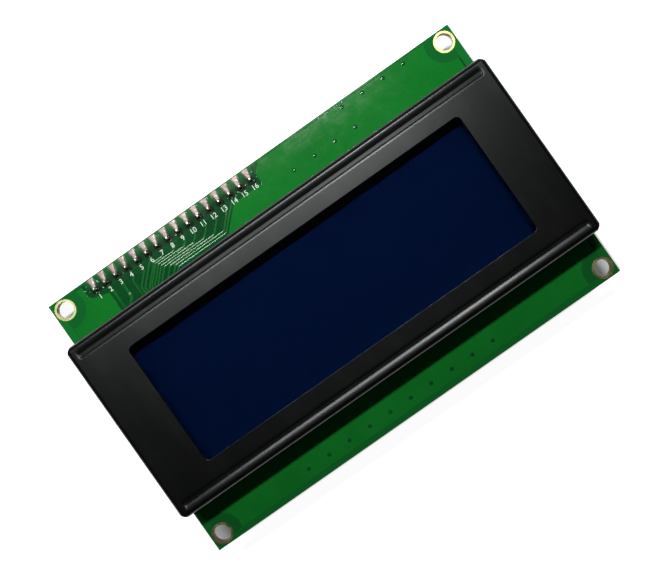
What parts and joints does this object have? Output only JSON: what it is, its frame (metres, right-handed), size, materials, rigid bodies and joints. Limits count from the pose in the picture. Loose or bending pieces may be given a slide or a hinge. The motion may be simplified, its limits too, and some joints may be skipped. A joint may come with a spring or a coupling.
{
  "type": "character lcd module",
  "caption": "Flat character display module: a green circuit board with corner mounting holes, a black folded bezel around a dark blue window, and a row of header pins behind.",
  "frame": {"origin": "centre of the mounting-hole rectangle, on the circuit board's back face", "axes": "+X along the board's long side, +Y towards the contact row, +Z out of the display towards the viewer"},
  "size_m": [0.098, 0.06, 0.0192],
  "materials": {
    "board_green": "glossy green solder mask over glass fibre board",
    "ring_plating": "pale satin plating",
    "solder": "dull tinned solder",
    "pin_metal": "bright plated wire",
    "header_black": "matte moulded plastic",
    "bezel_black": "satin black lacquer on thin steel",
    "window_film": "smooth dark blue polarizing film",
    "clear_glass": "clear float glass",
    "seal_resin": "cured resin",
    "case_white": "white moulded plastic",
    "film_white": "milky white film",
    "clear_guide": "clear moulded acrylic",
    "strip_rubber": "layered conductive rubber",
    "led_resin": "cast resin in a white cup",
    "dome_black": "cast black resin",
    "resistor_black": "glazed black ceramic with tinned ends",
    "capacitor_tan": "plain tan ceramic with tinned ends"
  },
  "bodies": {
    "root": {"backlight_case": "case_white", "backlight_lead_1": "pin_metal", "backlight_lead_2": "pin_metal", "bezel": "bezel_black", "capacitors": "capacitor_tan", "cell_seal": "seal_resin", "chip_dome_1": "dome_black", "chip_dome_2": "dome_black", "chip_dome_3": "dome_black", "circuit_board": "board_green", "conductive_lower_strip": "strip_rubber", "conductive_upper_strip": "strip_rubber", "contact_pads": "solder", "diffuser": "film_white", "front_glass": "clear_glass", "front_polarizer": "window_film", "header_body": "header_black", "header_pin_1": "pin_metal", "header_pin_10": "pin_metal", "header_pin_11": "pin_metal", "header_pin_12": "pin_metal", "header_pin_13": "pin_metal", "header_pin_14": "pin_metal", "header_pin_15": "pin_metal", "header_pin_16": "pin_metal", "header_pin_2": "pin_metal", "header_pin_3": "pin_metal", "header_pin_4": "pin_metal", "header_pin_5": "pin_metal", "header_pin_6": "pin_metal", "header_pin_7": "pin_metal", "header_pin_8": "pin_metal", "header_pin_9": "pin_metal", "hole_plating_1": "ring_plating", "hole_plating_2": "ring_plating", "hole_plating_3": "ring_plating", "hole_plating_4": "ring_plating", "lead_solder": "solder", "led_1": "led_resin", "led_2": "led_resin", "led_3": "led_resin", "led_4": "led_resin", "led_board": "board_green", "light_guide": "clear_guide", "rear_glass": "clear_glass", "rear_polarizer": "window_film", "reflector": "film_white", "resistors": "resistor_black", "solder_joints": "solder", "via_plating": "board_green"}
  },
  "joints": []
}
